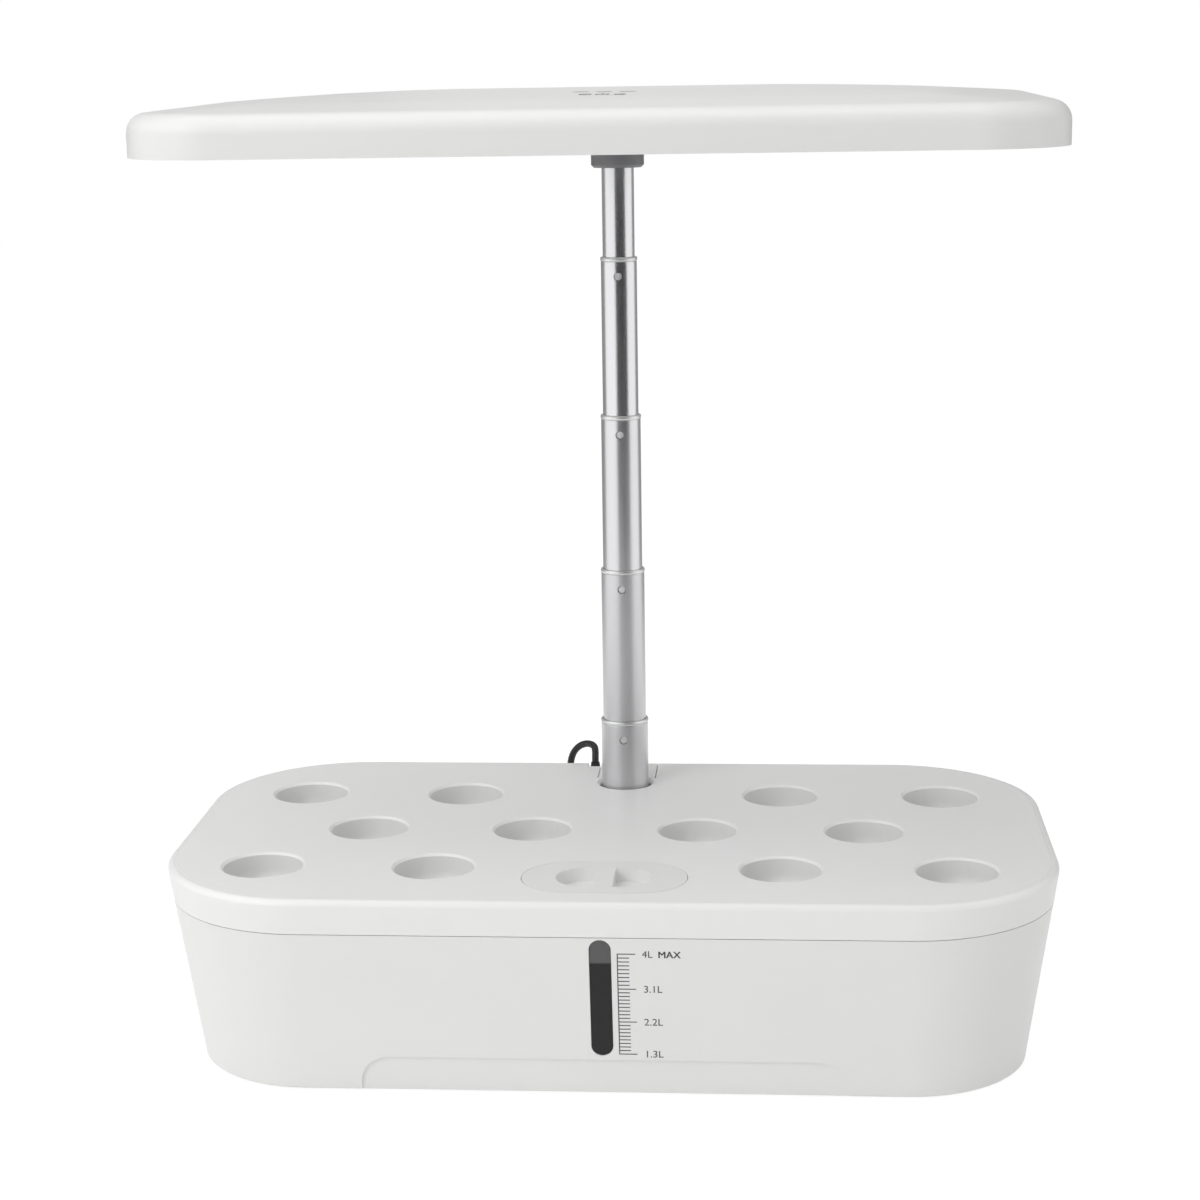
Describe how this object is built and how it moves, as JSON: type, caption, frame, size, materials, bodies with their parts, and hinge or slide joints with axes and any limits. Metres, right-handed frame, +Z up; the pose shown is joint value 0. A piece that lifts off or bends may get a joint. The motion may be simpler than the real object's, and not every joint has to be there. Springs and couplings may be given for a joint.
{
  "type": "countertop hydroponic garden",
  "caption": "Tabletop water tank with a lift-off planting deck, level window, telescopic mast and a flat grow lamp that turns above it.",
  "frame": {"origin": "centre of the footprint, on the table under the feet", "axes": "+X to the right seen from the front, +Y to the back, +Z up; the window faces -Y and the mast stands near the back"},
  "size_m": [0.377, 0.3372, 0.4057],
  "materials": {
    "white_shell": "satin",
    "foot_rubber": "matt",
    "smoked_plastic": "gloss",
    "black_rubber": "matt",
    "float_foam": "matt",
    "guide_plastic": "matt",
    "polished_steel": "polished",
    "satin_steel": "satin",
    "spring_steel": "satin",
    "black_plastic": "matt",
    "grey_plastic": "satin",
    "seal_silicone": "matt",
    "clear_panel": "gloss",
    "board_metal": "white coated",
    "circuit_board": "satin",
    "white_chip": "gloss",
    "red_chip": "gloss",
    "cord_jacket": "satin",
    "adapter_case": "matt",
    "blade_brass": "nickel plated"
  },
  "bodies": {
    "base": {"tank": "white_shell", "feet": "foot_rubber", "window_lens": "smoked_plastic", "window_gasket": "black_rubber", "float_guide": "guide_plastic", "mast_socket": "white_shell", "socket_screws": "satin_steel", "cord_gland": "black_rubber", "mast_tube_1": "satin_steel", "pump_body": "black_plastic", "pump_cover": "black_plastic", "rotor_shaft": "satin_steel", "pump_feet": "black_rubber", "pump_spout": "grey_plastic", "pump_lead": "cord_jacket", "power_lead": "cord_jacket", "power_tail": "cord_jacket", "lead_coil": "cord_jacket", "adapter": "adapter_case", "adapter_blades": "blade_brass"},
    "float": {"float_block": "float_foam"},
    "deck": {"deck": "white_shell"},
    "cover": {"fill_cover": "white_shell", "fill_seal": "seal_silicone"},
    "rotor": {"rotor": "grey_plastic"},
    "stage_2": {"mast_tube_2": "satin_steel", "bush_2": "black_plastic", "snap_spring_2": "spring_steel"},
    "stage_3": {"mast_tube_3": "polished_steel", "bush_3": "black_plastic", "snap_spring_3": "spring_steel"},
    "stage_4": {"mast_tube_4": "polished_steel", "bush_4": "black_plastic", "snap_spring_4": "spring_steel"},
    "stage_5": {"mast_tube_5": "polished_steel", "bush_5": "black_plastic", "snap_spring_5": "spring_steel", "top_ring": "spring_steel"},
    "button_2": {"snap_button_2": "satin_steel"},
    "button_3": {"snap_button_3": "satin_steel"},
    "button_4": {"snap_button_4": "satin_steel"},
    "button_5": {"snap_button_5": "satin_steel"},
    "lamp": {"lamp_housing": "white_shell", "lamp_glass": "clear_panel", "rim_screws": "satin_steel", "led_board": "board_metal", "board_screws": "satin_steel", "white_leds": "white_chip", "red_leds": "red_chip", "mast_bracket": "satin_steel", "bracket_screws": "satin_steel", "collar": "grey_plastic", "collar_nut": "grey_plastic", "driver_board": "circuit_board", "driver_parts": "black_plastic", "driver_screws": "satin_steel", "touch_board": "circuit_board", "touch_pads": "spring_steel", "touch_screws": "satin_steel"}
  },
  "joints": [
    {"name": "deck_lift", "type": "slide", "parent": "base", "child": "deck", "axis": [0, 0, 1], "range_m": [0, 0.04]},
    {"name": "cover_lift", "type": "slide", "parent": "deck", "child": "cover", "axis": [0, 0, 1], "range_m": [0, 0.03]},
    {"name": "float_rise", "type": "slide", "parent": "base", "child": "float", "axis": [0, -0.1483, 0.9889], "range_m": [0, 0.0414]},
    {"name": "rotor_spin", "type": "hinge", "parent": "base", "child": "rotor", "pos_m": [0.058, 0.06, 0.0202], "axis": [0, 1, 0], "continuous": true},
    {"name": "mast_slide_2", "type": "slide", "parent": "base", "child": "stage_2", "axis": [0, 0, 1], "range_m": [-0.069, 0]},
    {"name": "mast_slide_3", "type": "slide", "parent": "stage_2", "child": "stage_3", "axis": [0, 0, 1], "range_m": [-0.06, 0]},
    {"name": "mast_slide_4", "type": "slide", "parent": "stage_3", "child": "stage_4", "axis": [0, 0, 1], "range_m": [-0.06, 0]},
    {"name": "mast_slide_5", "type": "slide", "parent": "stage_4", "child": "stage_5", "axis": [0, 0, 1], "range_m": [-0.039, 0]},
    {"name": "snap_press_2", "type": "slide", "parent": "stage_2", "child": "button_2", "axis": [0, 1, 0], "range_m": [0, 0.001], "stiffness_N_per_m": 400, "springref_m": -0.0005},
    {"name": "snap_press_3", "type": "slide", "parent": "stage_3", "child": "button_3", "axis": [0, 1, 0], "range_m": [0, 0.001], "stiffness_N_per_m": 400, "springref_m": -0.0005},
    {"name": "snap_press_4", "type": "slide", "parent": "stage_4", "child": "button_4", "axis": [0, 1, 0], "range_m": [0, 0.001], "stiffness_N_per_m": 400, "springref_m": -0.0005},
    {"name": "snap_press_5", "type": "slide", "parent": "stage_5", "child": "button_5", "axis": [0, 1, 0], "range_m": [0, 0.001], "stiffness_N_per_m": 400, "springref_m": -0.0005},
    {"name": "lamp_turn", "type": "hinge", "parent": "stage_5", "child": "lamp", "pos_m": [0, 0.0696, 0.385], "axis": [0, 0, 1], "range_deg": [-90, 90]}
  ]
}
